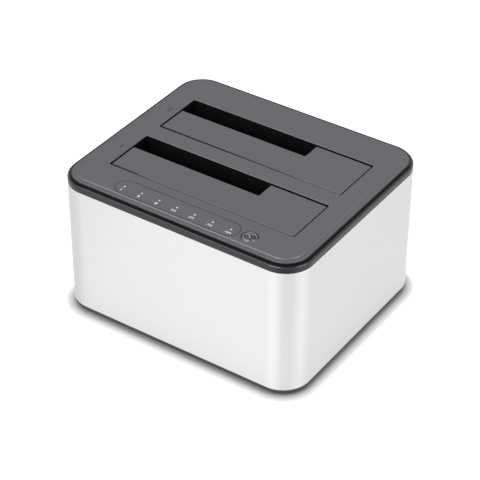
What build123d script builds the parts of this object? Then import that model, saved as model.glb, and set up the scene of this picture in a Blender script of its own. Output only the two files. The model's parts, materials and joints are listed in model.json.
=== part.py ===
"""Twin hard drive docking station.

X runs to the right along the front, Y to the back, Z up. The origin lies on the table,
below the middle of the housing. Lengths are in millimetres, angles in degrees.
"""

import os
from math import cos, hypot, pi, radians, sin, tan

from build123d import *

os.makedirs("parts", exist_ok=True)

# Housing
body_width = 133.5
body_depth = 113.4
corner_radius = 14.3
sleeve_height = 67.1
sleeve_wall = 1.5

# Clearances
fit_gap = 0.15  # round a piece that is pushed into its seat
run_gap = 0.3  # beside a piece that moves
shaft_gap = 0.06  # round a shaft, on the radius
overrun = 1.0  # how far a cut runs past the face that it opens

# Base and feet
foot_stand = 1.2
foot_radius = 5.5
foot_seat = 0.8
foot_round = 0.5
foot_from_side = 14.5
band_height = 2.7
band_inset = 0.4
band_round = 0.6
rim_height = 4.8
rim_wall = 1.6
vent_length = 19.0
vent_width = 2.4
vent_pitch = 6.0
vent_row_pitch = 30.0
vent_count = 7

# Screws
screw_radius = 1.45
screw_head_radius = 2.7
screw_head_height = 1.9
screw_recess = 3.4
screw_bite = 8.0
screw_slack = 0.2
cross_length_share = 0.6
cross_width = 0.7
cross_depth = 0.9
small_screw_radius = 0.95
small_screw_length = 5.0
small_head_radius = 1.9
small_head_height = 1.3

# Gloss rim round the top
bezel_band = 3.4
bezel_round = 0.9
gutter_width = 1.35
bezel_wall = 0.55
bezel_wall_round = 0.25
bezel_seat_height = 2.1
bezel_seat_reach = 1.7
bezel_lip_height = 3.0
bezel_lip_wall = 1.4

# Top plate
plate_thick = 2.35
plate_round = 0.3
panel_rise = 0.45
panel_bevel = 0.4
panel_inset = 4.4
skirt_height = 1.8
skirt_wall = 1.2
boss_radius = 2.4
cover_boss_height = 6.0

# Drive slots
slot_from_side = 15.0
slot_from_front = 21.75
slot_from_back = 22.45
slot_between = 9.8
slot_shift_x = 0.35
slot_corner = 0.8
slot_chamfer = 0.15
liner_wall = 0.8
liner_lip = 0.25  # what the plate leaves above a liner
notch_width = 72.4
notch_depth = 11.4

# Flaps and their hinges
flap_drop = 0.3
flap_thick = 2.0
flap_gap = 0.8
flap_back_gap = 1.15
flap_corner = 0.5
flap_rib_width = 1.2
flap_rib_depth = 1.3
flap_rib_shares = (-0.43, -0.24, 0.0, 0.24)
hinge_setback = 1.5
knuckle_radius = 1.5
knuckle_width = 4.0
pin_radius = 0.75
arm_reach = 3.4
arm_start = 30  # where round the knuckle the arm's front face begins
tab_reach = 1.8
tab_length = 3.0
tab_thick = 1.0
tab_root = 1.2
tab_from_hinge = 6.0

# Flap spring
flap_spring_radius = 1.2
flap_spring_wire = 0.5
flap_spring_pitch = 0.95
flap_spring_turns = 4
flap_spring_leg = 7.0
flap_spring_tilt = 5.0  # how far the upper leg rises towards the flap
flap_spring_from_knuckle = 1.0

# Drive wells
well_wall = 1.4
well_floor = 1.6
well_end_room = 1.8
well_back_room = 0.2
well_corner = 1.0
well_rib_width = 1.2
well_rib_reach = 0.2
well_rib_shares = (-0.36, -0.12, 0.12, 0.36)
end_rib_width = 1.8
end_rib_reach = 0.35
end_rib_shares = (-0.22, 0.3)
post_radius = 3.0
post_web = 2.0
post_from_well = 3.5
post_height = 28.0
ear_thick = 2.0
ear_from_post = 9.0

# Boards
standoff_radius = 4.2
standoff_height = 6.5
board_thick = 1.6
board_from_front = 7.2
board_corner = 3.0
status_board_from_side = 14.75
status_board_depth = 10.6
status_board_thick = 1.2
status_board_below = 5.9
status_boss_from_end = 4.0

# Drive sockets
socket_length = 44.0
socket_width = 5.6
socket_height = 10.5
socket_proud = 5.0
socket_from_edge = 33.9
socket_from_back = 4.8
socket_chamfer = 0.5
signal_slot_length = 10.6
power_slot_length = 20.8
socket_slot_width = 1.6
socket_slot_depth = 6.0
socket_slot_spacing = 2.6
socket_key_length = 1.4
socket_key_width = 1.2
contact_pitch = 1.27
contact_width = 0.6
contact_thick = 0.25
contact_height = 4.6
contact_drop = 0.7  # how far the contacts start below the socket's top
signal_contacts = 7
power_contacts = 15

# Status strip and light pipes
strip_from_side = 28.7
strip_from_button = 1.75
strip_from_front = 10.7
strip_width = 10.3
strip_thick = 0.4
strip_gap = 0.3
light_count = 7
light_from_end = 4.16
light_radius = 0.55
light_gap = 0.05
light_flange_radius = 1.0
light_flange_height = 0.7
led_length = 1.6
led_width = 0.9
led_height = 0.7

# Clone button
button_from_side = 31.05
button_radius = 3.8
button_gap = 0.3
button_proud = 0.25
button_bevel = 0.6
button_flange_radius = 4.7
button_flange_thick = 0.8
button_stem_radius = 1.5
button_travel = 0.6
tact_width = 4.5
tact_height = 2.2
tact_plunger_radius = 1.2
tact_plunger_height = 0.8
button_spring_radius = 3.9
button_spring_wire = 0.4
button_spring_turns = 4

# Rear ports
window_width = 76.0
window_height = 17.0
window_corner = 2.5
window_sill = 1.0  # how far the window starts below the board's top
port_panel_thick = 1.8
port_panel_sink = 1.6
port_panel_lap = 1.9
port_panel_side = 1.0
port_proud = 0.3
usb_from_side = 18.0
usb_width = 12.0
usb_height = 12.8
usb_length = 14.0
usb_corner = 0.6
usb_wall = 0.8
usb_mouth_depth = 10.0
usb_main_width = 8.6
usb_main_height = 7.4
usb_main_chamfer = 1.4
usb_upper_width = 6.2
usb_upper_height = 3.0
usb_tongue_width = 5.6
usb_tongue_height = 3.1
usb_tongue_setback = 1.0
usb_blade_height = 1.2
usb_blade_inset = 0.8
jack_off_middle = 1.0
jack_width = 9.0
jack_height = 11.0
jack_length = 11.0
jack_nose_radius = 4.0
jack_axis_height = 6.3
jack_bore_radius = 3.15
jack_bore_depth = 9.5
jack_pin_radius = 1.0
jack_pin_setback = 0.6
jack_pin_root = 1.0

# Power switch
switch_from_side = 12.0
switch_length = 15.0
switch_height = 10.4
switch_above_board = 7.5
switch_flange = 0.9
switch_frame = 1.6
switch_corner = 1.0
switch_body_inset = 0.5
switch_body_depth = 11.0
switch_well_depth = 5.2
rocker_tilt = 7  # each way from the middle
rocker_crown = 0.3
rocker_heel = 1.2
rocker_end_gap = 0.7
rocker_axle_radius = 0.9
rocker_axle_length = 0.8
rocker_axle_below = 2.0
terminal_width = 4.0
terminal_thick = 0.8
terminal_length = 4.0
terminal_pitch = 7.0

# Parts on the main board
bridge_size = 12.0
bridge_height = 1.4
bridge_shares = (0.26, -0.02)
memory_length = 5.2
memory_width = 4.0
memory_height = 1.5
memory_shares = (0.26, 0.14)
crystal_length = 5.0
crystal_width = 3.2
crystal_height = 1.0
crystal_shares = (0.39, -0.02)
chip_bevel = 0.25
coil_size = 7.0
coil_height = 3.4
coil_corner = 1.2
coil_pitch = 12.0
coil_shares = (0.0, 0.0)
capacitor_radius = 3.1
capacitor_height = 7.0
capacitor_round = 0.4
capacitor_pitch = 7.0
capacitor_from_usb = 5.0
capacitor_from_back = 7.0
header_length = 14.0
header_width = 4.0
header_height = 2.6
ribbon_width = 11.0
ribbon_thick = 0.5
ribbon_bow = 4.5
ribbon_straight_share = 0.164
ribbon_slope_share = 0.246
ribbon_radius = 5.0
ribbon_from_button = 11.7

# Levels
base_low = foot_stand
sleeve_low = base_low + band_height
sleeve_high = sleeve_low + sleeve_height
gutter_level = sleeve_high + bezel_band
plate_low = sleeve_high + bezel_seat_height
border_top = plate_low + plate_thick
panel_top = border_top + panel_rise
board_low = sleeve_low + standoff_height
board_high = board_low + board_thick
socket_top = board_high + socket_height
well_floor_top = socket_top - socket_proud
status_board_high = plate_low - status_board_below
status_board_low = status_board_high - status_board_thick
liner_top = panel_top - liner_lip
flap_top = panel_top - flap_drop
flap_low = flap_top - flap_thick
hinge_z = plate_low - run_gap - knuckle_radius
button_top = panel_top + button_proud

# Places
plate_inset = gutter_width + bezel_wall
seat_inset = plate_inset + bezel_seat_reach
inner_inset = sleeve_wall + fit_gap
inner_back = body_depth / 2 - sleeve_wall
slot_width = body_width - 2 * slot_from_side
slot_depth = (body_depth - slot_from_front - slot_between - slot_from_back) / 2
slot_left = slot_shift_x - slot_width / 2
slot_right = slot_shift_x + slot_width / 2
button_x = body_width / 2 - button_from_side
strip_y = strip_from_front - body_depth / 2
strip_left = strip_from_side - body_width / 2
strip_right = button_x - button_radius - button_gap - strip_from_button
strip_x = (strip_left + strip_right) / 2
strip_length = strip_right - strip_left
light_pitch = (strip_length - 2 * light_from_end) / (light_count - 1)
status_board_width = body_width - 2 * status_board_from_side
status_boss_reach = status_board_width / 2 - status_boss_from_end
well_left = slot_left - well_end_room
well_right = slot_right + well_end_room
post_reach = slot_width / 2 + well_end_room + well_wall + post_from_well
port_face = inner_back - port_panel_sink
port_back = port_face - port_panel_thick
board_width = 2 * (post_reach + post_radius)
board_depth = port_back - run_gap + body_depth / 2 - board_from_front
board_y = port_back - run_gap - board_depth / 2
window_middle = board_high - window_sill + window_height / 2
usb_x = usb_from_side - window_width / 2
switch_x = window_width / 2 - switch_from_side
jack_x = (usb_x + switch_x) / 2 + jack_off_middle
switch_z = board_high + switch_above_board
bays = {
    "front": slot_from_front - body_depth / 2 + slot_depth / 2,
    "rear": body_depth / 2 - slot_from_back - slot_depth / 2,
}
post_places = [(slot_shift_x + side * post_reach, bay) for bay in bays.values() for side in (-1, 1)]
cover_boss_places = [(x, y + ear_from_post) for x, y in post_places]
status_boss_places = [(slot_shift_x + side * status_boss_reach, strip_y) for side in (-1, 1)]
light_places = [
    (strip_x + (i - (light_count - 1) / 2) * light_pitch, strip_y) for i in range(light_count)
]


def keep(piece, name):
    """Label a finished piece and write it to its own file."""
    piece.part.label = name
    export_step(piece.part, f"parts/{name}.step")


def outline(inset, mode=Mode.ADD):
    """The housing's plan, taken in by inset all round."""
    return RectangleRounded(
        body_width - 2 * inset, body_depth - 2 * inset, corner_radius - inset, mode=mode
    )


def slot_outline(spread, mode=Mode.ADD):
    """A slot's plan, let out by spread all round."""
    return RectangleRounded(
        slot_width + 2 * spread, slot_depth + 2 * spread, slot_corner + spread, mode=mode
    )


def across(x):
    """A plane square to X, with its own axes along Y and Z."""
    return Plane.YZ.offset(x)


def upright(y):
    """A plane square to Y, seen from the front, with its own axes along X and Z."""
    return Plane.XZ.offset(-y)


def helix_point(plane, radius, pitch, start, turned):
    """A clockwise helix's point and direction after it has turned by turned radians."""
    angle = start - turned
    rise = pitch / (2 * pi)
    point = plane.from_local_coords((radius * cos(angle), radius * sin(angle), rise * turned))
    ahead = plane.from_local_coords((radius * sin(angle), -radius * cos(angle), rise))
    return point, (ahead - plane.origin).normalized()


def helix_biarcs(plane, radius, pitch, start, turned, steps):
    """Draw the helix as pairs of tangent arcs, one pair for each step."""
    for i in range(steps):
        low, low_way = helix_point(plane, radius, pitch, start, turned * i / steps)
        high, high_way = helix_point(plane, radius, pitch, start, turned * (i + 1) / steps)
        span = high - low
        total = low_way + high_way
        bend = 2 * (1 - low_way.dot(high_way))
        along = span.dot(total)
        reach = (-along + (along**2 + bend * span.dot(span)) ** 0.5) / bend
        middle = (low + low_way * reach + high - high_way * reach) * 0.5
        first = TangentArc(low, middle, tangent=low_way)
        TangentArc(middle, high, tangent=first % 1)


def turn_gap(radius, pitch, wire):
    """The least gap between neighbouring turns of a coil, measured on points."""
    steps = 48
    first = helix_point(Plane.XY, radius, pitch, 0, 0)[0]
    later = [
        helix_point(Plane.XY, radius, pitch, 0, 2 * pi * i / steps)[0]
        for i in range(steps // 2, 2 * steps)
    ]
    return min((point - first).length for point in later) - wire


# Aluminium sleeve, with the window for the ports in its back
with BuildPart() as sleeve:
    with BuildSketch(Plane.XY.offset(sleeve_low)):
        outline(0)
        outline(sleeve_wall, Mode.SUBTRACT)
    extrude(amount=sleeve_height)
    with BuildSketch(upright(inner_back - overrun)):
        with Locations((0, window_middle)):
            RectangleRounded(window_width, window_height, window_corner)
    extrude(amount=-(sleeve_wall + 2 * overrun), mode=Mode.SUBTRACT)
keep(sleeve, "housing_sleeve")

# Base: a floor that shows as a dark band, a rim inside the sleeve and four standoffs
with BuildPart() as base:
    with BuildSketch(Plane.XY.offset(base_low)):
        outline(band_inset)
    extrude(amount=band_height)
    fillet(base.faces().sort_by(Axis.Z)[0].edges(), band_round)
    with BuildSketch(Plane.XY.offset(sleeve_low)):
        outline(inner_inset)
        outline(inner_inset + rim_wall, Mode.SUBTRACT)
    extrude(amount=rim_height)
    with BuildSketch(Plane.XY.offset(sleeve_low)):
        with Locations(post_places):
            Circle(standoff_radius)
    extrude(amount=standoff_height)
    with BuildSketch(Plane.XY.offset(base_low)):
        with Locations(post_places):
            Circle(screw_head_radius + screw_slack)
    extrude(amount=screw_recess, mode=Mode.SUBTRACT)
    with BuildSketch(Plane.XY.offset(base_low)):
        with Locations(post_places):
            Circle(screw_radius + screw_slack)
    extrude(amount=band_height + standoff_height + overrun, mode=Mode.SUBTRACT)
    with BuildSketch(Plane.XY.offset(base_low)):
        with GridLocations(body_width - 2 * foot_from_side, body_depth - 2 * foot_from_side, 2, 2):
            Circle(foot_radius + fit_gap)
    extrude(amount=foot_seat, mode=Mode.SUBTRACT)
    with BuildSketch(Plane.XY.offset(base_low - overrun)):
        with GridLocations(vent_pitch, vent_row_pitch, vent_count, 2):
            SlotOverall(vent_length, vent_width, rotation=90)
    extrude(amount=band_height + 2 * overrun, mode=Mode.SUBTRACT)
keep(base, "base_tray")

foot_plan = [
    (side * (body_width / 2 - foot_from_side), end * (body_depth / 2 - foot_from_side))
    for end in (-1, 1)
    for side in (-1, 1)
]
for number, place in enumerate(foot_plan, start=1):
    with BuildPart() as foot:
        with BuildSketch():
            with Locations(place):
                Circle(foot_radius)
        extrude(amount=foot_stand + foot_seat)
        fillet(foot.edges().sort_by(Axis.Z)[0], foot_round)
    keep(foot, f"foot_{number}")

with BuildPart() as base_screws:
    head_level = base_low + screw_recess
    with BuildSketch(Plane.XY.offset(head_level - screw_head_height)):
        with Locations(post_places):
            Circle(screw_head_radius)
    extrude(amount=screw_head_height)
    with BuildSketch(Plane.XY.offset(head_level)):
        with Locations(post_places):
            Circle(screw_radius)
    extrude(amount=board_high + screw_bite - head_level)
    with BuildSketch(Plane.XY.offset(head_level - screw_head_height)):
        with Locations(post_places):
            Rectangle(2 * screw_head_radius * cross_length_share, cross_width)
            Rectangle(cross_width, 2 * screw_head_radius * cross_length_share)
    extrude(amount=cross_depth, mode=Mode.SUBTRACT)
keep(base_screws, "base_screws")

# Gloss rim: band flush with the sleeve, gutter, thin wall, seat for the plate and lip
with BuildPart() as bezel:
    with BuildSketch(Plane.XY.offset(sleeve_high)):
        outline(0)
        outline(plate_inset, Mode.SUBTRACT)
    extrude(amount=bezel_band)
    fillet(bezel.faces().sort_by(Axis.Z)[-1].outer_wire().edges(), bezel_round)
    with BuildSketch(Plane.XY.offset(gutter_level)):
        outline(gutter_width)
        outline(plate_inset, Mode.SUBTRACT)
    extrude(amount=border_top - gutter_level)
    fillet(bezel.faces().sort_by(Axis.Z)[-1].outer_wire().edges(), bezel_wall_round)
    with BuildSketch(Plane.XY.offset(sleeve_high)):
        outline(gutter_width)
        outline(seat_inset, Mode.SUBTRACT)
    extrude(amount=bezel_seat_height)
    with BuildSketch(Plane.XY.offset(sleeve_high - bezel_lip_height)):
        outline(inner_inset)
        outline(inner_inset + bezel_lip_wall, Mode.SUBTRACT)
    extrude(amount=bezel_lip_height)
keep(bezel, "top_bezel")

# Top plate: border, raised panel, skirt, bosses and every opening
with BuildPart() as plate:
    with BuildSketch(Plane.XY.offset(plate_low)):
        outline(plate_inset + fit_gap)
    extrude(amount=plate_thick)
    fillet(plate.faces().sort_by(Axis.Z)[-1].edges(), plate_round)
    with BuildSketch(Plane.XY.offset(border_top)):
        outline(panel_inset)
    extrude(amount=panel_rise)
    chamfer(plate.faces().sort_by(Axis.Z)[-1].edges(), panel_bevel)
    with BuildSketch(Plane.XY.offset(plate_low)):
        outline(seat_inset + fit_gap)
        outline(seat_inset + fit_gap + skirt_wall, Mode.SUBTRACT)
    extrude(amount=-skirt_height)
    with BuildSketch(Plane.XY.offset(plate_low)):
        with Locations(cover_boss_places):
            Circle(boss_radius)
    extrude(amount=-cover_boss_height)
    with BuildSketch(Plane.XY.offset(plate_low)):
        with Locations(status_boss_places):
            Circle(boss_radius)
    extrude(amount=-status_board_below)
    with BuildSketch(Plane.XY.offset(plate_low - cover_boss_height)):
        with Locations(cover_boss_places):
            Circle(small_screw_radius + shaft_gap)
    extrude(amount=small_screw_length - ear_thick + screw_slack, mode=Mode.SUBTRACT)
    with BuildSketch(Plane.XY.offset(status_board_high)):
        with Locations(status_boss_places):
            Circle(small_screw_radius + shaft_gap)
    extrude(amount=small_screw_length - status_board_thick + screw_slack, mode=Mode.SUBTRACT)
    with BuildSketch(Plane.XY.offset(plate_low - overrun)):
        with Locations([(slot_shift_x, bay) for bay in bays.values()]):
            slot_outline(0)
    extrude(amount=plate_thick + panel_rise + 2 * overrun, mode=Mode.SUBTRACT)
    panel_face = plate.faces().sort_by(Axis.Z)[-1]
    chamfer(panel_face.inner_wires().edges(), slot_chamfer)
    with BuildSketch(Plane.XY.offset(liner_top)):
        with Locations([(slot_shift_x, bay) for bay in bays.values()]):
            slot_outline(liner_wall + fit_gap)
    extrude(amount=plate_low - liner_top - overrun, mode=Mode.SUBTRACT)
    with BuildSketch(Plane.XY.offset(panel_top - strip_thick)):
        with Locations((strip_x, strip_y)):
            SlotOverall(strip_length + 2 * strip_gap, strip_width + 2 * strip_gap)
    extrude(amount=strip_thick + overrun, mode=Mode.SUBTRACT)
    with BuildSketch(Plane.XY.offset(plate_low - overrun)):
        with Locations(light_places):
            Circle(light_radius + light_gap)
        with Locations((button_x, strip_y)):
            Circle(button_radius + button_gap)
    extrude(amount=plate_thick + panel_rise + 2 * overrun, mode=Mode.SUBTRACT)
keep(plate, "top_plate")

# Slot liners: black frames let into the plate from below, which line the slots
for name, bay in bays.items():
    with BuildPart() as liner:
        with BuildSketch(Plane.XY.offset(plate_low)):
            with Locations((slot_shift_x, bay)):
                slot_outline(liner_wall)
                slot_outline(0, Mode.SUBTRACT)
        extrude(amount=liner_top - plate_low)
    keep(liner, f"{name}_slot_liner")

# Status strip: a thin cover let into the plate, with a hole for each light
with BuildPart() as strip:
    with BuildSketch(Plane.XY.offset(panel_top - strip_thick)):
        with Locations((strip_x, strip_y)):
            SlotOverall(strip_length, strip_width)
        with Locations(light_places):
            Circle(light_radius + light_gap, mode=Mode.SUBTRACT)
    extrude(amount=strip_thick)
keep(strip, "status_strip")

# Light pipes, each a pin with a flange above its own lamp
for number, place in enumerate(light_places, start=1):
    with BuildPart() as light_pipe:
        with BuildSketch(Plane.XY.offset(plate_low - light_flange_height)):
            with Locations(place):
                Circle(light_flange_radius)
        extrude(amount=light_flange_height)
        with BuildSketch(Plane.XY.offset(status_board_high + led_height)):
            with Locations(place):
                Circle(light_radius)
        extrude(amount=panel_top - status_board_high - led_height)
    keep(light_pipe, f"light_pipe_{number}")

with BuildPart() as status_leds:
    with BuildSketch(Plane.XY.offset(status_board_high)):
        with Locations(light_places):
            Rectangle(led_length, led_width)
    extrude(amount=led_height)
keep(status_leds, "status_leds")

with BuildPart() as status_board:
    with BuildSketch(Plane.XY.offset(status_board_low)):
        with Locations((slot_shift_x, strip_y)):
            RectangleRounded(status_board_width, status_board_depth, board_corner)
        with Locations(status_boss_places):
            Circle(small_screw_radius + screw_slack, mode=Mode.SUBTRACT)
    extrude(amount=status_board_thick)
keep(status_board, "status_board")

# Small screws that hold the wells and the status board to the plate
with BuildPart() as small_screws:
    grips = (
        (cover_boss_places, plate_low - cover_boss_height - ear_thick),
        (status_boss_places, status_board_low),
    )
    for places, seat in grips:
        with BuildSketch(Plane.XY.offset(seat)):
            with Locations(places):
                Circle(small_head_radius)
        extrude(amount=-small_head_height)
        with BuildSketch(Plane.XY.offset(seat)):
            with Locations(places):
                Circle(small_screw_radius)
        extrude(amount=small_screw_length)
keep(small_screws, "small_screws")

# Clone button with its flange and stem, the switch below it and its spring
flange_top = plate_low - run_gap
flange_low = flange_top - button_flange_thick
plunger_top = status_board_high + tact_height + tact_plunger_height
with BuildPart() as button:
    with BuildSketch(Plane.XY.offset(flange_low)):
        with Locations((button_x, strip_y)):
            Circle(button_flange_radius)
    extrude(amount=button_flange_thick)
    with BuildSketch(Plane.XY.offset(flange_top)):
        with Locations((button_x, strip_y)):
            Circle(button_radius)
    extrude(amount=button_top - flange_top)
    chamfer(button.faces().sort_by(Axis.Z)[-1].edges(), button_bevel)
    with BuildSketch(Plane.XY.offset(flange_low)):
        with Locations((button_x, strip_y)):
            Circle(button_stem_radius)
    extrude(amount=plunger_top + button_travel + screw_slack - flange_low)
keep(button, "clone_button")

with BuildPart() as tact_switch:
    with BuildSketch(Plane.XY.offset(status_board_high)):
        with Locations((button_x, strip_y)):
            Rectangle(tact_width, tact_width)
    extrude(amount=tact_height)
    with BuildSketch(Plane.XY.offset(status_board_high + tact_height)):
        with Locations((button_x, strip_y)):
            Circle(tact_plunger_radius)
    extrude(amount=tact_plunger_height)
keep(tact_switch, "tact_switch")

spring_low = status_board_high + button_spring_wire / 2 + fit_gap
spring_rise = flange_low - button_spring_wire / 2 - fit_gap - spring_low
button_spring_pitch = spring_rise / button_spring_turns
with BuildPart() as button_spring:
    with BuildLine() as spring_path:
        helix_biarcs(
            Plane((button_x, strip_y, spring_low)),
            button_spring_radius,
            button_spring_pitch,
            0,
            2 * pi * button_spring_turns,
            4 * button_spring_turns,
        )
    with BuildSketch(Plane(spring_path.wire() @ 0, z_dir=spring_path.wire() % 0)):
        Circle(button_spring_wire / 2)
    sweep(path=spring_path.wire())
keep(button_spring, "button_spring")
print("button spring gap", turn_gap(button_spring_radius, button_spring_pitch, button_spring_wire))


def drive_well(bay):
    """The box that guides a drive down to its socket, with its posts and ears."""
    slot_front = bay - slot_depth / 2
    slot_back = bay + slot_depth / 2
    hinge_y = slot_front - hinge_setback
    front = hinge_y - knuckle_radius - run_gap
    back = slot_back + well_back_room
    middle = (slot_shift_x, (front + back) / 2)
    inner_width = well_right - well_left
    inner_depth = back - front
    outer_width = inner_width + 2 * well_wall
    height = plate_low - well_floor_top
    ear_high = plate_low - cover_boss_height
    tab_swing = hypot(tab_from_hinge + tab_length, plate_low - hinge_z)
    end_rib_height = hinge_z - tab_swing - run_gap - well_floor_top
    well_rib_height = hinge_z - knuckle_radius - run_gap - well_floor_top
    with BuildPart() as well:
        with BuildSketch(Plane.XY.offset(well_floor_top - well_floor)):
            with Locations(middle):
                RectangleRounded(outer_width, inner_depth + 2 * well_wall, well_corner + well_wall)
        extrude(amount=well_floor + height)
        for side in (-1, 1):
            x = slot_shift_x + side * post_reach
            ear_y = bay + ear_from_post
            half_reach = (post_reach - outer_width / 2 + well_wall / 2) / 2
            web_x = x - side * half_reach
            with BuildSketch(Plane.XY.offset(board_high)):
                with Locations((x, bay)):
                    Circle(post_radius)
            extrude(amount=post_height)
            with BuildSketch(Plane.XY.offset(well_floor_top - well_floor)):
                with Locations((web_x, bay)):
                    Rectangle(2 * half_reach, post_web)
            extrude(amount=post_height - (well_floor_top - well_floor - board_high))
            with BuildSketch(Plane.XY.offset(ear_high)):
                with Locations((x, ear_y)):
                    Circle(boss_radius)
                with Locations((web_x, ear_y)):
                    Rectangle(2 * half_reach, 2 * boss_radius)
            extrude(amount=-ear_thick)
            with BuildSketch(Plane.XY.offset(ear_high - ear_thick)):
                with Locations((x, ear_y)):
                    Circle(small_screw_radius + screw_slack)
            extrude(amount=ear_thick, mode=Mode.SUBTRACT)
            with BuildSketch(Plane.XY.offset(board_high)):
                with Locations((x, bay)):
                    Circle(screw_radius + shaft_gap)
            extrude(amount=screw_bite + screw_slack, mode=Mode.SUBTRACT)
        with BuildSketch(Plane.XY.offset(well_floor_top)):
            with Locations(middle):
                RectangleRounded(inner_width, inner_depth, well_corner)
        extrude(amount=height + overrun, mode=Mode.SUBTRACT)
        with BuildSketch(Plane.XY.offset(well_floor_top)):
            for share in well_rib_shares:
                rib_depth = slot_front + well_rib_reach - front
                with Locations((slot_shift_x + share * slot_width, front + rib_depth / 2)):
                    Rectangle(well_rib_width, rib_depth)
        extrude(amount=well_rib_height)
        with BuildSketch(Plane.XY.offset(well_floor_top)):
            rib_reach = well_end_room + end_rib_reach
            for share in end_rib_shares:
                y = bay + share * slot_depth
                with Locations((well_left + rib_reach / 2, y), (well_right - rib_reach / 2, y)):
                    Rectangle(rib_reach, end_rib_width)
        extrude(amount=end_rib_height)
        with BuildSketch(Plane.XY.offset(well_floor_top - well_floor - overrun)):
            with Locations((slot_left + socket_from_edge, slot_back - socket_from_back)):
                Rectangle(socket_length + 2 * run_gap, socket_width + 2 * run_gap)
        extrude(amount=well_floor + 2 * overrun, mode=Mode.SUBTRACT)
        with BuildSketch(across(slot_shift_x - outer_width / 2 - overrun)):
            with Locations((hinge_y, hinge_z)):
                Circle(pin_radius + shaft_gap)
        extrude(amount=outer_width + 2 * overrun, mode=Mode.SUBTRACT)
    return well


def hinge_pin(bay):
    """The steel pin that the flap turns on, held in the well's end walls."""
    hinge_y = bay - slot_depth / 2 - hinge_setback
    length = well_right - well_left + 2 * well_wall
    with BuildPart() as pin:
        with BuildSketch(across(well_left - well_wall)):
            with Locations((hinge_y, hinge_z)):
                Circle(pin_radius)
        extrude(amount=length)
    return pin


def drive_flap(bay):
    """The L-shaped lid of a slot, which a large drive pushes down and a small one misses."""
    slot_front = bay - slot_depth / 2
    slot_back = bay + slot_depth / 2
    hinge_y = slot_front - hinge_setback
    left = slot_left + flap_gap
    right = slot_right - flap_gap
    front = slot_front + flap_gap
    leg_back = slot_back - notch_depth
    tongue_back = slot_back - flap_back_gap
    tongue_left = slot_left + notch_width
    rib_front = front + arm_reach / 2
    tab_high = plate_low - run_gap
    tab_low = tab_high - tab_thick
    with BuildPart() as flap:
        with BuildSketch(Plane.XY.offset(flap_low)) as plan:
            with BuildLine():
                Polyline(
                    (left, front),
                    (right, front),
                    (right, tongue_back),
                    (tongue_left, tongue_back),
                    (tongue_left, leg_back),
                    (left, leg_back),
                    close=True,
                )
            make_face()
            fillet(plan.vertices(), flap_corner)
        extrude(amount=flap_thick)
        chamfer(flap.faces().sort_by(Axis.Z)[-1].edges(), slot_chamfer)
        for share in flap_rib_shares:
            x = slot_shift_x + share * slot_width
            rib_back = (tongue_back if x > tongue_left else leg_back) - flap_rib_depth
            with BuildSketch(Plane.XY.offset(flap_low)):
                with Locations((x, (rib_front + rib_back) / 2)):
                    Rectangle(flap_rib_width, rib_back - rib_front)
            extrude(amount=-flap_rib_depth)
        arm_back = front + arm_reach
        arm_top = flap_low + flap_thick / 2
        knuckle_lefts = (
            left,
            (left + right - knuckle_width) / 2,
            right - knuckle_width,
        )
        for x in knuckle_lefts:
            with BuildSketch(across(x)):
                with Locations((hinge_y, hinge_z)):
                    Circle(knuckle_radius)
                with BuildLine():
                    Polyline(
                        (hinge_y, hinge_z - knuckle_radius),
                        (arm_back, flap_low),
                        (arm_back, arm_top),
                        (front, arm_top),
                        (front, flap_low),
                        (
                            hinge_y + knuckle_radius * cos(radians(arm_start)),
                            hinge_z + knuckle_radius * sin(radians(arm_start)),
                        ),
                        (hinge_y, hinge_z),
                        close=True,
                    )
                make_face()
            extrude(amount=knuckle_width)
        with BuildSketch(across(left - overrun)):
            with Locations((hinge_y, hinge_z)):
                Circle(pin_radius + shaft_gap)
        extrude(amount=right - left + 2 * overrun, mode=Mode.SUBTRACT)
        for end, out in ((left, -1), (right, 1)):
            with BuildSketch(upright(hinge_y + tab_from_hinge)):
                with BuildLine():
                    Polyline(
                        (end - out * tab_root, flap_low + flap_thick / 2),
                        (end, flap_low + flap_thick / 2),
                        (end, tab_high),
                        (end + out * tab_reach, tab_high),
                        (end + out * tab_reach, tab_low),
                        (end - out * tab_root, tab_low),
                        close=True,
                    )
                make_face()
            extrude(amount=-tab_length)
    return flap


def flap_spring(bay):
    """The torsion spring round a hinge pin: lower leg, coil, then the leg under the flap."""
    hinge_y = bay - slot_depth / 2 - hinge_setback
    turned = 2 * pi * flap_spring_turns + radians(90 - flap_spring_tilt)
    length = flap_spring_pitch * turned / (2 * pi)
    start_x = slot_right - flap_gap - knuckle_width - flap_spring_from_knuckle - length
    plane = Plane((start_x, hinge_y, hinge_z), x_dir=(0, 1, 0), z_dir=(1, 0, 0))
    sizes = (plane, flap_spring_radius, flap_spring_pitch, pi)
    first, first_way = helix_point(*sizes, 0)
    last, last_way = helix_point(*sizes, turned)
    with BuildPart() as spring:
        with BuildLine() as path:
            Line(first - first_way * flap_spring_leg, first)
            helix_biarcs(*sizes, turned, 4 * flap_spring_turns + 1)
            Line(last, last + last_way * flap_spring_leg)
        with BuildSketch(Plane(path.wire() @ 0, z_dir=path.wire() % 0)):
            Circle(flap_spring_wire / 2)
        sweep(path=path.wire())
    return spring


socket_x = slot_left + socket_from_edge
socket_slots = signal_slot_length + socket_slot_spacing + power_slot_length
signal_x = socket_x + (socket_slots - signal_slot_length) / 2
power_x = socket_x - (socket_slots - power_slot_length) / 2


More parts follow.
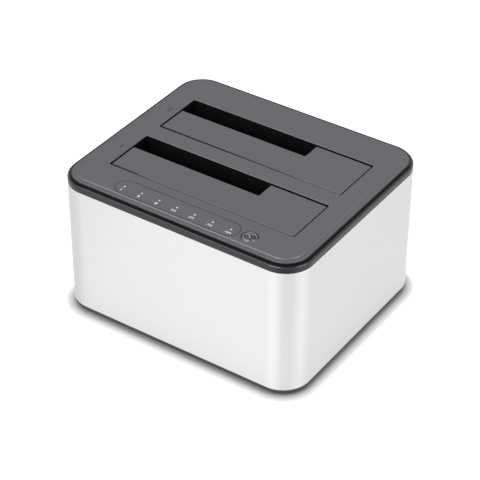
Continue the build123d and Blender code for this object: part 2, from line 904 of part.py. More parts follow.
def drive_socket(bay):
    """The combined signal and power socket that stands on the main board."""
    y = bay + slot_depth / 2 - socket_from_back
    with BuildPart() as socket:
        with BuildSketch(Plane.XY.offset(board_high)):
            with Locations((socket_x, y)):
                Rectangle(socket_length, socket_width)
        extrude(amount=socket_height)
        chamfer(socket.faces().sort_by(Axis.Z)[-1].edges(), socket_chamfer)
        with BuildSketch(Plane.XY.offset(socket_top - socket_slot_depth)):
            for slot_x, length, side in (
                (signal_x, signal_slot_length, -1),
                (power_x, power_slot_length, 1),
            ):
                key_x = slot_x + side * (length - socket_key_length) / 2
                with Locations((slot_x, y)):
                    Rectangle(length, socket_slot_width)
                with Locations((key_x, y + (socket_slot_width + socket_key_width) / 2)):
                    Rectangle(socket_key_length, socket_key_width)
        extrude(amount=socket_slot_depth, mode=Mode.SUBTRACT)
    return socket


def socket_contacts(bay):
    """The two rows of contact blades that lie on the front wall of the socket's slots."""
    wall_y = bay + slot_depth / 2 - socket_from_back - socket_slot_width / 2
    with BuildPart() as contacts:
        with BuildSketch(Plane.XY.offset(socket_top - contact_drop - contact_height)):
            for slot_x, count in ((signal_x, signal_contacts), (power_x, power_contacts)):
                with Locations((slot_x, wall_y + contact_thick / 2)):
                    with GridLocations(contact_pitch, 0, count, 1):
                        Rectangle(contact_width, contact_thick)
        extrude(amount=contact_height)
    return contacts


for bay_name, bay_y in bays.items():
    keep(drive_well(bay_y), f"{bay_name}_drive_well")
    keep(drive_flap(bay_y), f"{bay_name}_flap")
    keep(hinge_pin(bay_y), f"{bay_name}_hinge_pin")
    keep(flap_spring(bay_y), f"{bay_name}_flap_spring")
    keep(drive_socket(bay_y), f"{bay_name}_drive_socket")
    keep(socket_contacts(bay_y), f"{bay_name}_socket_contacts")
print("flap spring gap", turn_gap(flap_spring_radius, flap_spring_pitch, flap_spring_wire))

# Main board, clamped between the base's standoffs and the wells' posts
with BuildPart() as main_board:
    with BuildSketch(Plane.XY.offset(board_low)):
        with Locations((slot_shift_x, board_y)):
            RectangleRounded(board_width, board_depth, board_corner)
        with Locations(post_places):
            Circle(screw_radius + screw_slack, mode=Mode.SUBTRACT)
    extrude(amount=board_thick)
keep(main_board, "main_board")


def board_place(shares):
    """A place on the main board, from shares of its width and depth off its middle."""
    return (slot_shift_x + shares[0] * board_width, board_y + shares[1] * board_depth)


chips = (
    ("bridge_chip", bridge_shares, bridge_size, bridge_size, bridge_height),
    ("memory_chip", memory_shares, memory_length, memory_width, memory_height),
    ("clock_crystal", crystal_shares, crystal_length, crystal_width, crystal_height),
)
for name, shares, length, width, height in chips:
    with BuildPart() as chip:
        with BuildSketch(Plane.XY.offset(board_high)):
            with Locations(board_place(shares)):
                Rectangle(length, width)
        extrude(amount=height)
        chamfer(chip.faces().sort_by(Axis.Z)[-1].edges(), chip_bevel)
    keep(chip, name)

with BuildPart() as power_coils:
    with BuildSketch(Plane.XY.offset(board_high)):
        with Locations(board_place(coil_shares)):
            with GridLocations(coil_pitch, 0, 2, 1):
                RectangleRounded(coil_size, coil_size, coil_corner)
    extrude(amount=coil_height)
keep(power_coils, "power_coils")

with BuildPart() as capacitors:
    capacitor_x = usb_x - usb_width / 2 - capacitor_from_usb
    with BuildSketch(Plane.XY.offset(board_high)):
        with Locations((capacitor_x, port_back - capacitor_from_back)):
            with GridLocations(0, capacitor_pitch, 1, 2):
                Circle(capacitor_radius)
    extrude(amount=capacitor_height)
    fillet(capacitors.faces().group_by(Axis.Z)[-1].edges(), capacitor_round)
keep(capacitors, "capacitors")

# Ribbon cable between the two boards, with a header at each end
ribbon_x = button_x - ribbon_from_button
with BuildPart() as headers:
    for level, rise in ((board_high, header_height), (status_board_low, -header_height)):
        with BuildSketch(Plane.XY.offset(level)):
            with Locations((ribbon_x, strip_y)):
                Rectangle(header_length, header_width)
        extrude(amount=rise)
keep(headers, "ribbon_headers")

ribbon_high = status_board_low - header_height
ribbon_low = board_high + header_height
ribbon_straight = (ribbon_high - ribbon_low) * ribbon_straight_share
ribbon_bend = ribbon_straight + (ribbon_high - ribbon_low) * ribbon_slope_share
with BuildPart() as ribbon:
    with BuildSketch(across(ribbon_x - ribbon_width / 2)):
        with BuildLine():
            FilletPolyline(
                (strip_y, ribbon_high),
                (strip_y, ribbon_high - ribbon_straight),
                (strip_y - ribbon_bow, ribbon_high - ribbon_bend),
                (strip_y - ribbon_bow, ribbon_low + ribbon_bend),
                (strip_y, ribbon_low + ribbon_straight),
                (strip_y, ribbon_low),
                radius=ribbon_radius,
            )
        trace(line_width=ribbon_thick)
    extrude(amount=ribbon_width)
keep(ribbon, "ribbon_cable")

# Port panel: a sunk tray behind the sleeve's window, with an opening for each port
jack_z = board_high + jack_axis_height
with BuildPart() as port_panel:
    with BuildSketch(upright(inner_back)):
        with Locations((0, window_middle)):
            RectangleRounded(
                window_width + 2 * port_panel_lap,
                window_height + 2 * port_panel_lap,
                window_corner + port_panel_lap,
            )
    extrude(amount=port_panel_thick)
    with BuildSketch(upright(inner_back)):
        with Locations((0, window_middle)):
            RectangleRounded(
                window_width + 2 * port_panel_side,
                window_height + 2 * port_panel_side,
                window_corner + port_panel_side,
            )
    extrude(amount=port_panel_sink + port_panel_thick)
    with BuildSketch(upright(inner_back)):
        with Locations((0, window_middle)):
            RectangleRounded(window_width, window_height, window_corner)
    extrude(amount=port_panel_sink, mode=Mode.SUBTRACT)
    with BuildSketch(upright(port_face)):
        with Locations((usb_x, board_high + usb_height / 2)):
            Rectangle(usb_width + 2 * fit_gap, usb_height + 2 * fit_gap)
        with Locations((jack_x, jack_z)):
            Circle(jack_nose_radius + fit_gap)
        with Locations((switch_x, switch_z)):
            Rectangle(
                switch_length - 2 * switch_body_inset + 2 * fit_gap,
                switch_height - 2 * switch_body_inset + 2 * fit_gap,
            )
    extrude(amount=port_panel_thick + overrun, mode=Mode.SUBTRACT)
keep(port_panel, "port_panel")

# Data socket: metal shell with a two-step mouth, and the plastic tongues inside it
port_mouth = port_face + port_proud
usb_main_low = board_high + usb_wall
usb_main_top = usb_main_low + usb_main_height
with BuildPart() as usb_shell:
    with BuildSketch(upright(port_mouth)):
        with Locations((usb_x, board_high + usb_height / 2)):
            RectangleRounded(usb_width, usb_height, usb_corner)
    extrude(amount=usb_length)
    with BuildSketch(upright(port_mouth)) as usb_mouth:
        with Locations((usb_x, usb_main_low + usb_main_height / 2)):
            Rectangle(usb_main_width, usb_main_height)
        chamfer(usb_mouth.vertices().group_by(Axis.Z)[-1], usb_main_chamfer)
        with Locations((usb_x, usb_main_top + usb_upper_height / 2 - usb_wall / 2)):
            Rectangle(usb_upper_width, usb_upper_height + usb_wall)
    extrude(amount=usb_mouth_depth, mode=Mode.SUBTRACT)
keep(usb_shell, "usb_shell")

with BuildPart() as usb_tongue:
    tongue_length = usb_mouth_depth - usb_tongue_setback
    blade_width = usb_upper_width - 2 * usb_blade_inset
    with BuildSketch(upright(port_mouth - usb_tongue_setback)):
        with Locations((usb_x, usb_main_low + usb_main_height / 2)):
            Rectangle(usb_tongue_width, usb_tongue_height)
        with Locations((usb_x, usb_main_top + usb_upper_height / 2)):
            Rectangle(blade_width, usb_blade_height)
    extrude(amount=tongue_length)
keep(usb_tongue, "usb_tongues")

# Power inlet: body behind the panel, round nose through it, and the centre pin
with BuildPart() as power_jack:
    with BuildSketch(upright(port_back - fit_gap)):
        with Locations((jack_x, board_high + jack_height / 2)):
            Rectangle(jack_width, jack_height)
    extrude(amount=jack_length)
    with BuildSketch(upright(port_mouth)):
        with Locations((jack_x, jack_z)):
            Circle(jack_nose_radius)
    extrude(amount=port_mouth - port_back + fit_gap)
    with BuildSketch(upright(port_mouth)):
        with Locations((jack_x, jack_z)):
            Circle(jack_bore_radius)
    extrude(amount=jack_bore_depth, mode=Mode.SUBTRACT)
    with BuildSketch(upright(port_mouth - jack_bore_depth)):
        with Locations((jack_x, jack_z)):
            Circle(jack_pin_radius)
    extrude(amount=jack_pin_root, mode=Mode.SUBTRACT)
keep(power_jack, "power_jack")

with BuildPart() as jack_pin:
    with BuildSketch(upright(port_mouth - jack_pin_setback)):
        with Locations((jack_x, jack_z)):
            Circle(jack_pin_radius)
    extrude(amount=jack_bore_depth + jack_pin_root - jack_pin_setback)
    fillet(jack_pin.edges().sort_by(Axis.Y)[-1], jack_pin_radius / 2)
keep(jack_pin, "power_jack_pin")

# Power switch: flanged body, terminals and the rocker on its upright axle
switch_face = port_face + switch_flange
rocker_axle_y = switch_face - rocker_axle_below
rocker_room_length = switch_length - 2 * switch_frame
rocker_room_height = switch_height - 2 * switch_frame
with BuildPart() as switch_body:
    with BuildSketch(upright(switch_face)):
        with Locations((switch_x, switch_z)):
            RectangleRounded(switch_length, switch_height, switch_corner)
    extrude(amount=switch_flange)
    with BuildSketch(upright(port_face)):
        with Locations((switch_x, switch_z)):
            Rectangle(
                switch_length - 2 * switch_body_inset, switch_height - 2 * switch_body_inset
            )
    extrude(amount=switch_body_depth)
    with BuildSketch(upright(switch_face)):
        with Locations((switch_x, switch_z)):
            Rectangle(rocker_room_length, rocker_room_height)
    extrude(amount=switch_well_depth, mode=Mode.SUBTRACT)
    axle_span = rocker_room_height - 2 * run_gap + 2 * (rocker_axle_length + run_gap)
    with BuildSketch(Plane.XY.offset(switch_z - axle_span / 2)):
        with Locations((switch_x, rocker_axle_y)):
            Circle(rocker_axle_radius + shaft_gap)
    extrude(amount=axle_span, mode=Mode.SUBTRACT)
keep(switch_body, "power_switch")

with BuildPart() as terminals:
    with BuildSketch(upright(port_face - switch_body_depth)):
        with Locations((switch_x, switch_z)):
            with GridLocations(terminal_pitch, 0, 2, 1):
                Rectangle(terminal_thick, terminal_width)
    extrude(amount=terminal_length)
keep(terminals, "switch_terminals")

rocker_half = rocker_room_length / 2 - rocker_end_gap
rocker_height = rocker_room_height - 2 * run_gap
crown = rocker_axle_below + rocker_crown
crown_end = crown + rocker_half * tan(radians(rocker_tilt))
with BuildPart() as rocker:
    rocker_plane = Plane((switch_x, rocker_axle_y, switch_z - rocker_height / 2)).rotated(
        (0, 0, rocker_tilt)
    )
    with BuildSketch(rocker_plane):
        with BuildLine():
            Polyline(
                (rocker_half, -rocker_heel),
                (rocker_half, crown_end),
                (0, crown),
                (-rocker_half, crown_end),
                (-rocker_half, -rocker_heel),
            )
            ThreePointArc(
                (-rocker_half, -rocker_heel), (0, -2 * rocker_heel), (rocker_half, -rocker_heel)
            )
        make_face()
    extrude(amount=rocker_height)
    with BuildSketch(Plane.XY.offset(switch_z - rocker_height / 2 - rocker_axle_length)):
        with Locations((switch_x, rocker_axle_y)):
            Circle(rocker_axle_radius)
    extrude(amount=rocker_height + 2 * rocker_axle_length)
keep(rocker, "power_rocker")
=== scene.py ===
import json
import math

import bpy
import numpy as np
from mathutils import Matrix, Vector


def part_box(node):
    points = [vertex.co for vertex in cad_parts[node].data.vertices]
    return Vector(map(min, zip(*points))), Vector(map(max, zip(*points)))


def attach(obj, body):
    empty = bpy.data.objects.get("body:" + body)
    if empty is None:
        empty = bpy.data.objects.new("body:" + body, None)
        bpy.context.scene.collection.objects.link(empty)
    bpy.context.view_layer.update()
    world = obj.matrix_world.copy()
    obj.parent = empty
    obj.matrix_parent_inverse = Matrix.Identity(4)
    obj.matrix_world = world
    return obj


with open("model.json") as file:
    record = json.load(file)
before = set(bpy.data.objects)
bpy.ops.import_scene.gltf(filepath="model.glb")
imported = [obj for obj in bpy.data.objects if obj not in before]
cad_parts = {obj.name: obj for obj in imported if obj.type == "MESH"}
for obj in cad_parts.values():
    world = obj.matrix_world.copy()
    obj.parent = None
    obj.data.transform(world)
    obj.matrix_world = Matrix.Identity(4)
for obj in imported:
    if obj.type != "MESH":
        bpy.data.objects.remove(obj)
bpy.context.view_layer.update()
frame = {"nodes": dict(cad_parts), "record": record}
nodes = frame["nodes"]
print("frame loaded:", len(nodes), "nodes")

mm = 0.001

# Camera: where it stands, how it is turned, and its lens
camera = {
    "place": (0.39328, -0.58302, 0.54791),
    "azimuth": 34.04,  # degrees round from the front, to the right
    "elevation": 36.29,
    "roll": 0.287,
    "lens": 134.92,
    "sensor": 36.0,
    "clips": (0.01, 20),
}


def wayTo(azimuth, elevation):
    # The way from the dock to a place, from two angles in degrees
    a, e = math.radians(azimuth), math.radians(elevation)
    return Vector((math.sin(a) * math.cos(e), -math.cos(a) * math.cos(e), math.sin(e)))


def aimCamera(setup):
    # Rows of the turn: right, up and back, worked out from the two angles, then rolled
    a, r = math.radians(setup["azimuth"]), math.radians(setup["roll"])
    back = wayTo(setup["azimuth"], setup["elevation"])
    right = Vector((math.cos(a), math.sin(a), 0))
    up = back.cross(right)
    across = right * math.cos(r) + up * math.sin(r)
    above = up * math.cos(r) - right * math.sin(r)
    turn = Matrix((across, above, back)).transposed()
    lens = bpy.data.cameras.new("stillCamera")
    lens.lens = setup["lens"]
    lens.sensor_width = setup["sensor"]
    lens.clip_start, lens.clip_end = setup["clips"]
    eye = bpy.data.objects.new("stillCamera", lens)
    bpy.context.scene.collection.objects.link(eye)
    eye.matrix_world = Matrix.Translation(setup["place"]) @ turn.to_4x4()
    bpy.context.scene.camera = eye


aimCamera(camera)
bpy.context.scene.view_settings.view_transform = "Standard"
print("camera placed")


class Strand:  # a socket on its way through a material; sums on it add Math nodes
    def __init__(self, finish, socket):
        self.finish = finish
        self.socket = socket

    def work(self, operation, first, second):
        return self.finish.add("ShaderNodeMath", {"operation": operation}, {0: first, 1: second})

    def __add__(self, other):
        return self.work("ADD", self, other)

    def __mul__(self, other):
        return self.work("MULTIPLY", self, other)


class Finish:  # one node tree, and the one method that puts a node into it
    def __init__(self, tree):
        self.tree = tree
        self.tree.nodes.clear()

    def add(self, kind, settings=None, sockets=None, out=0):
        node = self.tree.nodes.new(kind)
        for key, value in (settings or {}).items():
            if key == "stops":
                bands = node.color_ramp.elements
                for place, _ in value[2:]:
                    bands.new(place)
                for band, (place, shade) in zip(bands, value):
                    band.position = place
                    band.color = (shade, shade, shade, 1)
            else:
                setattr(node, key, value)
        for key, value in (sockets or {}).items():
            if isinstance(value, Strand):
                self.tree.links.new(value.socket, node.inputs[key])
            else:
                node.inputs[key].default_value = value
        return Strand(self, node.outputs[out]) if node.outputs else None

    def blend(self, share, first, second):  # from the first colour to the second
        first, second = ((*c, 1) if isinstance(c, tuple) else c for c in (first, second))
        return self.add(
            "ShaderNodeMix", {"data_type": "RGBA"}, {0: share, 6: first, 7: second}, out=2
        )

    def stretch(self, scale, place):  # the same place, scaled along each axis
        return self.add("ShaderNodeMapping", {}, {"Vector": place, "Scale": scale})

    def noise(self, place, scale, detail=2.0, rough=0.5):
        return self.add(
            "ShaderNodeTexNoise",
            {},
            {"Vector": place, "Scale": scale, "Detail": detail, "Roughness": rough},
        )

    def ramp(self, share, *stops):
        return self.add("ShaderNodeValToRGB", {"stops": stops}, {0: share})

    def bump(self, height, strength, distance):
        return self.add(
            "ShaderNodeBump", {}, {"Height": height, "Strength": strength, "Distance": distance}
        )


def newFinish(name):
    material = bpy.data.materials.new(name)
    material.use_nodes = True
    finish = Finish(material.node_tree)
    finish.material = material
    finish.place = finish.add("ShaderNodeTexCoord", out="Object")
    return finish


def close(finish, **sockets):
    # Underscores in the names stand for the spaces in the shader's own
    named = {key.replace("_", " "): value for key, value in sockets.items()}
    shader = finish.add("ShaderNodeBsdfPrincipled", {}, named)
    finish.add("ShaderNodeOutputMaterial", {}, {"Surface": shader})
    return finish.material


def dark(colour, share):
    return tuple(c * share for c in colour)


def sleeveMetal(setup):
    # Fine streaks run round the sleeve, over a soft change of tone
    f = newFinish("sleeveMetal")
    streaks = f.noise(f.stretch(setup["streaks"], f.place), 1.0, 3.0)
    grit = f.noise(f.place, setup["grit"], 2.0)
    clouds = f.noise(f.place, setup["clouds"], 2.0)
    tone = streaks * setup["streakTone"] + clouds * setup["cloudTone"]
    height = streaks * setup["streakRelief"] + grit * setup["gritRelief"]
    dull = grit * setup["gritGloss"] + setup["roughness"]
    return close(
        f,
        Base_Color=f.blend(tone, dark(setup["colour"], setup["mottle"]), setup["colour"]),
        Metallic=1.0,
        Roughness=streaks * setup["streakGloss"] + dull,
        Anisotropic=setup["anisotropic"],
        Anisotropic_Rotation=setup["turn"],
        Normal=f.bump(height, setup["relief"], setup["depth"]),
    )


moulded = {
    "coarse": 0.31,  # the coarse grain's scale as a share of the fine one's
    "fineTone": 0.35,
    "cloudTone": 0.65,
    "fineGloss": 0.08,
    "cloudGloss": 0.06,
    "fineRelief": 0.6,
    "coarseRelief": 0.4,
    "depth": 0.00004,
}


def mouldedPlastic(name, setup):
    # A fine moulded grain of two sizes, with a slow change of tone and gloss
    f = newFinish(name)
    fine = f.noise(f.place, setup["grain"], 2.0, 0.6)
    coarse = f.noise(f.place, setup["grain"] * moulded["coarse"], 1.0)
    clouds = f.noise(f.place, setup["clouds"], 2.0)
    tone = fine * moulded["fineTone"] + clouds * moulded["cloudTone"]
    height = fine * moulded["fineRelief"] + coarse * moulded["coarseRelief"]
    dull = clouds * moulded["cloudGloss"] + setup["roughness"]
    return close(
        f,
        Base_Color=f.blend(tone, dark(setup["colour"], setup["mottle"]), setup["colour"]),
        Roughness=fine * moulded["fineGloss"] + dull,
        IOR=setup.get("ior", 1.5),
        Specular_IOR_Level=setup.get("specular", 0.5),
        Normal=f.bump(height, setup["relief"], moulded["depth"]),
    )


rolled = {
    "scratches": (300, 4000, 300),
    "clouds": 220.0,
    "mottle": 0.86,
    "scratchGloss": 0.12,
    "cloudGloss": 0.1,
    "relief": 0.12,
    "depth": 0.00002,
}


def turnedMetal(name, colour, roughness):
    # Rolled or drawn metal: faint long scratches, duller where they crowd
    f = newFinish(name)
    scratches = f.noise(f.stretch(rolled["scratches"], f.place), 1.0, 3.0)
    clouds = f.noise(f.place, rolled["clouds"], 3.0)
    dull = clouds * rolled["cloudGloss"] + roughness
    return close(
        f,
        Base_Color=f.blend(clouds, dark(colour, rolled["mottle"]), colour),
        Metallic=1.0,
        Roughness=scratches * rolled["scratchGloss"] + dull,
        Normal=f.bump(scratches, rolled["relief"], rolled["depth"]),
    )


def circuitBoard(setup):
    # Lacquered board: lighter copper runs under the green, with a glossy coat
    f = newFinish("circuitBoard")
    cells = f.add(
        "ShaderNodeTexBrick",
        {"offset": setup["offset"], "squash": setup["squash"]},
        {
            "Vector": f.place,
            "Scale": setup["fields"],
            "Mortar Size": setup["runWidth"],
            "Mortar Smooth": setup["runEdge"],
            "Color1": (0, 0, 0, 1),
            "Color2": (0, 0, 0, 1),
            "Mortar": (1, 1, 1, 1),
        },
    )
    clouds = f.noise(f.place, setup["clouds"], 3.0)
    lacquer = f.blend(clouds, dark(setup["colour"], setup["mottle"]), setup["colour"])
    return close(
        f,
        Base_Color=f.blend(cells, lacquer, setup["runs"]),
        Roughness=clouds * setup["cloudGloss"] + setup["roughness"],
        Coat_Weight=setup["coat"],
        Coat_Roughness=setup["coatRoughness"],
        Normal=f.bump(cells, setup["relief"], setup["depth"]),
    )


def ribbonSkin(setup):
    # Ridges side by side across the cable, one for each wire
    f = newFinish("ribbonSkin")
    across = f.add("ShaderNodeSeparateXYZ", {}, {0: f.place})
    ridges = f.add(
        "ShaderNodeMath", {"operation": "SINE"}, {0: across * (2 * math.pi / setup["pitch"])}
    )
    clouds = f.noise(f.place, setup["clouds"], 2.0)
    tone = ridges * setup["ridgeTone"] + (clouds * setup["cloudTone"] + setup["lowTone"])
    return close(
        f,
        Base_Color=f.blend(tone, dark(setup["colour"], setup["mottle"]), setup["colour"]),
        Roughness=clouds * setup["cloudGloss"] + setup["roughness"],
        Normal=f.bump(ridges, setup["relief"], setup["depth"]),
    )


printed = {"thin": 1500.0, "mottle": 0.9, "thinGloss": 0.1}


def printedInk(name, colour, roughness):
    # Pad-printed ink: even, a touch thinner in places
    f = newFinish(name)
    thin = f.noise(f.place, printed["thin"], 2.0)
    return close(
        f,
        Base_Color=f.blend(thin, dark(colour, printed["mottle"]), colour),
        Roughness=thin * printed["thinGloss"] + roughness,
    )


finishes = {
    "brushed_aluminium": sleeveMetal(
        {
            "colour": (0.868, 0.852, 0.862),
            "mottle": 0.975,
            "roughness": 0.34,
            "streakTone": 0.5,
            "cloudTone": 0.5,
            "streakGloss": 0.06,
            "gritGloss": 0.04,
            "anisotropic": 0.8,
            "turn": 0.25,  # of a full turn, so that the streaks run round
            "streaks": (70, 70, 5200),
            "grit": 4200.0,
            "clouds": 14.0,
            "streakRelief": 0.6,
            "gritRelief": 0.4,
            "relief": 0.05,
            "depth": 0.00001,
        }
    ),
    "gloss_black": mouldedPlastic(
        "glossBlack",
        {
            "colour": (0.012, 0.0085, 0.012),
            "mottle": 0.8,
            "roughness": 0.1,
            "grain": 900.0,
            "clouds": 30.0,
            "relief": 0.01,
            "ior": 1.6,
        },
    ),
    "matte_grey": mouldedPlastic(
        "matteGrey",
        {
            "colour": (0.067, 0.066, 0.081),
            "mottle": 0.94,
            "roughness": 0.42,
            "ior": 1.6,
            "specular": 1.0,
            "grain": 3400.0,
            "clouds": 26.0,
            "relief": 0.16,
        },
    ),
    "dark_plastic": mouldedPlastic(
        "darkPlastic",
        {
            "colour": (0.0035, 0.0035, 0.0038),
            "mottle": 0.85,
            "roughness": 0.48,
            "specular": 0.15,
            "grain": 2600.0,
            "clouds": 40.0,
            "relief": 0.14,
        },
    ),
    "base_plastic": mouldedPlastic(
        "basePlastic",
        {
            "colour": (0.05, 0.05, 0.054),
            "mottle": 0.9,
            "roughness": 0.5,
            "grain": 2900.0,
            "clouds": 26.0,
            "relief": 0.16,
        },
    ),
    "foot_rubber": mouldedPlastic(
        "footRubber",
        {
            "colour": (0.03, 0.03, 0.031),
            "mottle": 0.8,
            "roughness": 0.78,
            "grain": 1800.0,
            "clouds": 120.0,
            "relief": 0.3,
        },
    ),
    "zinc_steel": turnedMetal("zincSteel", (0.6, 0.6, 0.59), 0.26),
    "shell_steel": turnedMetal("shellSteel", (0.68, 0.68, 0.69), 0.2),
    "can_aluminium": turnedMetal("canAluminium", (0.75, 0.75, 0.76), 0.3),
    "contact_brass": turnedMetal("contactBrass", (0.83, 0.62, 0.3), 0.2),
    "board_green": circuitBoard(
        {
            "colour": (0.008, 0.07, 0.03),
            "runs": (0.02, 0.14, 0.06),
            "mottle": 0.8,
            "roughness": 0.35,
            "cloudGloss": 0.1,
            "coat": 0.3,
            "coatRoughness": 0.15,
            "fields": 160.0,
            "offset": 0.35,
            "squash": 1.6,
            "runWidth": 0.05,
            "runEdge": 0.1,
            "clouds": 90.0,
            "relief": 0.2,
            "depth": 0.00003,
        }
    ),
    "chip_black": mouldedPlastic(
        "chipBlack",
        {
            "colour": (0.02, 0.02, 0.021),
            "mottle": 0.75,
            "roughness": 0.5,
            "grain": 5000.0,
            "clouds": 300.0,
            "relief": 0.2,
        },
    ),
    "lens_white": mouldedPlastic(
        "lensWhite",
        {
            "colour": (0.62, 0.63, 0.64),
            "mottle": 0.92,
            "roughness": 0.22,
            "grain": 1500.0,
            "clouds": 300.0,
            "relief": 0.02,
        },
    ),
    "socket_black": mouldedPlastic(
        "socketBlack",
        {
            "colour": (0.012, 0.012, 0.013),
            "mottle": 0.8,
            "roughness": 0.36,
            "grain": 4200.0,
            "clouds": 200.0,
            "relief": 0.08,
        },
    ),
    "ribbon_grey": ribbonSkin(
        {
            "colour": (0.5, 0.5, 0.52),
            "pitch": 0.00127,  # from wire to wire
            "mottle": 0.7,
            "ridgeTone": 0.3,
            "cloudTone": 0.4,
            "lowTone": 0.15,
            "roughness": 0.45,
            "cloudGloss": 0.1,
            "clouds": 150.0,
            "relief": 0.5,
            "depth": 0.0001,
        }
    ),
}
paleInk = printedInk("paleInk", (0.72, 0.72, 0.75), 0.45)
greyInk = printedInk("greyInk", (0.42, 0.42, 0.44), 0.45)
darkInk = printedInk("darkInk", (0.012, 0.012, 0.014), 0.5)

inks = (paleInk, greyInk, darkInk)
print("materials made:", len(finishes) + len(inks))

# Each CAD node takes the finish of its slot
for part in frame["record"]["subparts"]:
    shape = nodes[part["node"]].data
    shape.materials.clear()
    shape.materials.append(finishes[part["material_slot"]])
print("nodes dressed")


def putPiece(name, mesh, material, body):
    mesh.materials.clear()
    mesh.materials.append(material)
    piece = bpy.data.objects.new(name, mesh)
    bpy.context.scene.collection.objects.link(piece)
    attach(piece, body)


def putGrid(name, points, material, body, closed=False):
    # Points in millimetres, rows by columns, become quads; closed joins the last column
    # to the first
    rows, columns = points.shape[:2]
    spot = np.arange(rows * columns).reshape(rows, columns)
    if closed:
        spot = np.hstack([spot, spot[:, :1]])
    quads = np.stack([spot[:-1, :-1], spot[:-1, 1:], spot[1:, 1:], spot[1:, :-1]], axis=-1)
    mesh = bpy.data.meshes.new(name)
    mesh.from_pydata((points.reshape(-1, 3) * mm).tolist(), [], quads.reshape(-1, 4).tolist())
    putPiece(name, mesh, material, body)


def putWords(name, words, letter, spot, material):
    # Letters are cut from the font as a flat sheet, then laid on the top at spot
    font = bpy.data.curves.new(name, "FONT")
    font.body = words
    font.size = letter["height"] * mm
    font.align_x, font.align_y = "CENTER", "CENTER"
    font.offset = letter["bold"] * mm
    drawn = bpy.data.objects.new(name + "Font", font)
    mesh = bpy.data.meshes.new_from_object(drawn)
    mesh.name = name
    bpy.data.objects.remove(drawn)
    widened = Matrix.Diagonal((letter["wide"], 1, 1, 1))
    mesh.transform(Matrix.Translation(Vector(spot) * mm) @ widened)
    putPiece(name, mesh, material, "dock")


def atLevel(points, level):
    # Points in plan, in rows or not, get one height or a height each
    return np.concatenate([points, np.broadcast_to(level, points.shape[:-1])[..., None]], axis=-1)


inkLift = 0.02  # mm that a print stands above what it is printed on

# Lamp labels: three bold marks, then four numbers, printed in front of the lamps
lampLabels = {
    "first": -33.89,
    "pitch": 9.93,
    "y": -48.75,
    "words": ("1", "2", "0", "25%", "50%", "75%", "100%"),
    "marks": {"count": 3, "height": 2.1, "wide": 1.15, "bold": 0.14},
    "shares": {"height": 1.9, "wide": 0.9, "bold": 0.04},
}
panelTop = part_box("status_strip")[1].z / mm
for count, words in enumerate(lampLabels["words"]):
    letter = lampLabels["marks" if count < lampLabels["marks"]["count"] else "shares"]
    spot = (lampLabels["first"] + count * lampLabels["pitch"], lampLabels["y"], panelTop + inkLift)
    putWords(f"lamp_label_{count + 1}", words, letter, spot, paleInk)

# Strip seam: a dark sheet round the status strip, painted shade of the groove between strip and
# panel
stripSeamShade = {"spreads": (0.28, 0.02), "drop": 0.03, "turns": 24}
stripLow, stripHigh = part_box("status_strip")
stripMiddle = (stripLow + stripHigh) / 2 / mm
stripSpan = (stripHigh - stripLow) / mm


def slotPath(spread):
    # The strip's outline, wider by spread: half a circle at each end, run one after the other
    half = np.linspace(-math.pi / 2, math.pi / 2, stripSeamShade["turns"])
    radius = stripSpan.y / 2 + spread
    reach = stripSpan.x / 2 + spread - radius
    bend = np.stack([reach + radius * np.cos(half), radius * np.sin(half)], axis=-1)
    return np.array(stripMiddle[:2]) + np.vstack([bend, -bend])


seamShadeRows = np.array([slotPath(spread) for spread in stripSeamShade["spreads"]])
seamShadeRows = atLevel(seamShadeRows, panelTop - stripSeamShade["drop"])
# The dark sheet round the strip is painted shade of its groove
putGrid("strip_seam_shade", seamShadeRows, finishes["dark_plastic"], "dock", closed=True)

# Slot numbers, dark, at the left end of each slot
slotNumbers = {
    "x": -56.0,
    "rows": (("front", "1", -19.6), ("rear", "2", 19.6)),
    "letter": {"height": 4.4, "wide": 1.2, "bold": 0.0},
}
for bay, words, y in slotNumbers["rows"]:
    spot = (slotNumbers["x"], y, panelTop + inkLift)
    putWords(f"{bay}_slot_number", words, slotNumbers["letter"], spot, darkInk)

# Flap gap shades: on each flap a dark strip down its front side, as high as its gap shows,
# and one along its front edge, both wider to the left: painted shade of the gap between flap and
# plate
flapGapShades = {
    "low": 75.0,
    "lift": 0.01,
    "flaps": {
        "front_flap": {
            "front": -34.17,
            "tops": ((-50.4, 75.58), (-40, 75.56), (-31, 75.42), (-22, 75.2)),
            "widths": ((-50.4, 0.32), (-38, 0.26), (-29, 0.04)),
        },
        "rear_flap": {
            "front": 5.33,
            "tops": ((-50.4, 75.6), (-13, 75.58), (14, 75.48), (32, 75.35), (51.1, 75.25)),
            "widths": ((-50.4, 0.5), (-22, 0.36), (5, 0.2), (28, 0.04)),
        },
    },
}
for flap, gapShade in flapGapShades["flaps"].items():
    x, tops = np.array(gapShade["tops"]).T
    side = np.column_stack([x, np.full_like(x, gapShade["front"])])
    rows = np.array([atLevel(side, flapGapShades["low"]), atLevel(side, tops)])
    # Dark strips down the flap's front side and along its front edge: painted shade of its gap
    putGrid(f"{flap}_seam", rows, finishes["dark_plastic"], flap)
    x, widths = np.array(gapShade["widths"]).T
    front = np.column_stack([x, np.full_like(x, gapShade["front"])])
    back = np.column_stack([x, gapShade["front"] + widths])
    rows = atLevel(np.array([front, back]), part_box(flap)[1].z / mm + flapGapShades["lift"])
    putGrid(f"{flap}_edge_shade", rows, finishes["dark_plastic"], flap)

# Rim gutter shade: a dull dark strip down the outer side of the rim's low wall, all round, painted
# shade of the gutter between plate and rim
rimGutterShade = {
    "corner": 14.3,
    "turns": 32,
    "rows": ((1.33, 74.5), (1.33, 75.2), (1.4, 75.4), (1.56, 75.456)),  # how far in, and how high
}
rimLow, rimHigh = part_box("top_bezel")
rimHalf = np.array((rimHigh - rimLow)[:2]) / 2 / mm


